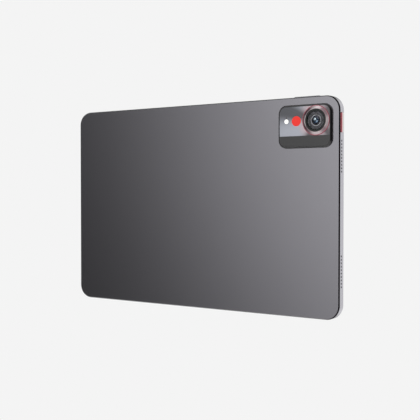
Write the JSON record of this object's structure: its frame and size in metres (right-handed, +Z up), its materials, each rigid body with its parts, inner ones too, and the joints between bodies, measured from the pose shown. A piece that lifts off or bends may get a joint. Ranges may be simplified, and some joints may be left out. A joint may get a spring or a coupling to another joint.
{
  "type": "tablet computer",
  "caption": "Slim tablet computer with a metal back, camera island, side keys, edge speakers and a USB-C socket.",
  "frame": {"origin": "middle of the long bottom edge's flat face, half way through the thickness", "axes": "+Z up the short side as the tablet stands on its long edge, +X along the long side away from the power key, +Y out of the back, so the screen faces -Y"},
  "size_m": [0.2542, 0.0108, 0.1651],
  "materials": {
    "rear_housing": "fine bead-blasted grey anodising",
    "cover_glass": "clear polished",
    "border_print": "black ink",
    "glass_tape": "adhesive foam",
    "surround": "fine black",
    "display_panel": "dark gloss",
    "light_guide": "clear acrylic",
    "backlight_tray": "bare sheet",
    "support_plate": "bare sheet",
    "display_flex": "copper and polyimide",
    "front_camera": "black",
    "front_camera_lens": "coated",
    "light_sensor": "dark",
    "antennas": "printed copper",
    "battery_cell_left": "foil pouch",
    "battery_cell_right": "foil pouch",
    "battery_board": "green board",
    "battery_tape": "white pull tape",
    "battery_flex": "polyimide",
    "main_board": "green solder mask",
    "processor": "moulded package",
    "board_chips": "moulded packages",
    "shield_cans": "tinned sheet",
    "board_connectors": "tan",
    "graphite_sheet": "graphite",
    "link_flex": "polyimide",
    "usb_board": "green board",
    "usb_shell": "stainless",
    "usb_tongue": "black",
    "usb_strap": "stainless",
    "microphones": "gold-plated can",
    "speaker_top_right": "black",
    "speaker_bottom_right": "black",
    "speaker_top_left": "black",
    "speaker_bottom_left": "black",
    "speaker_drivers": "steel and paper",
    "speaker_meshes": "fine mesh",
    "power_key": "red anodised",
    "power_switch": "ivory",
    "power_bracket": "stainless",
    "power_flex": "polyimide",
    "volume_rocker": "grey anodised",
    "volume_switches": "ivory",
    "volume_bracket": "stainless",
    "volume_flex": "polyimide",
    "island_frame": "gloss black",
    "island_window": "mirror-coated, grey-blue",
    "island_band": "dark grey",
    "lens_collar": "polished",
    "lens_accent_ring": "metallic red",
    "lens_black_ring": "gloss black",
    "lens_cone": "dark grey, stepped",
    "lens_window": "clear coated",
    "lens_barrel": "blue-coated front element",
    "camera_module": "dark",
    "camera_flex": "polyimide",
    "lamp_window": "milky white",
    "lamp_led": "yellow phosphor",
    "badge": "red",
    "screws": "zinc plated"
  },
  "bodies": {
    "tablet": {"rear_housing": "rear_housing", "cover_glass": "cover_glass", "border_print": "border_print", "glass_tape": "glass_tape", "surround": "surround", "display_panel": "display_panel", "light_guide": "light_guide", "backlight_tray": "backlight_tray", "support_plate": "support_plate", "display_flex": "display_flex", "front_camera": "front_camera", "front_camera_lens": "front_camera_lens", "light_sensor": "light_sensor", "antennas": "antennas", "battery_cell_left": "battery_cell_left", "battery_cell_right": "battery_cell_right", "battery_board": "battery_board", "battery_tape": "battery_tape", "battery_flex": "battery_flex", "main_board": "main_board", "processor": "processor", "board_chips": "board_chips", "shield_cans": "shield_cans", "board_connectors": "board_connectors", "graphite_sheet": "graphite_sheet", "link_flex": "link_flex", "usb_board": "usb_board", "usb_shell": "usb_shell", "usb_tongue": "usb_tongue", "usb_strap": "usb_strap", "microphones": "microphones", "speaker_top_right": "speaker_top_right", "speaker_bottom_right": "speaker_bottom_right", "speaker_top_left": "speaker_top_left", "speaker_bottom_left": "speaker_bottom_left", "speaker_drivers": "speaker_drivers", "speaker_meshes": "speaker_meshes", "power_switch": "power_switch", "power_bracket": "power_bracket", "power_flex": "power_flex", "volume_switches": "volume_switches", "volume_bracket": "volume_bracket", "volume_flex": "volume_flex", "island_frame": "island_frame", "island_window": "island_window", "island_band": "island_band", "lens_collar": "lens_collar", "lens_accent_ring": "lens_accent_ring", "lens_black_ring": "lens_black_ring", "lens_cone": "lens_cone", "lens_window": "lens_window", "camera_module": "camera_module", "camera_flex": "camera_flex", "lamp_window": "lamp_window", "lamp_led": "lamp_led", "badge": "badge", "screws": "screws"},
    "power_key": {"power_key": "power_key"},
    "volume_rocker": {"volume_rocker": "volume_rocker"},
    "lens_barrel": {"lens_barrel": "lens_barrel"}
  },
  "joints": [
    {"name": "power_press", "type": "slide", "parent": "tablet", "child": "power_key", "axis": [1, 0, 0], "range_m": [0, 0.0003], "stiffness_N_per_m": 4000},
    {"name": "volume_rock", "type": "hinge", "parent": "tablet", "child": "volume_rocker", "pos_m": [-0.099, 0, 0.1637], "axis": [0, 1, 0], "range_deg": [-1.2, 1.2], "stiffness_Nm_per_rad": 0.5},
    {"name": "lens_focus", "type": "slide", "parent": "tablet", "child": "lens_barrel", "axis": [0, 1, 0], "range_m": [0, 0.00035], "stiffness_N_per_m": 60}
  ]
}
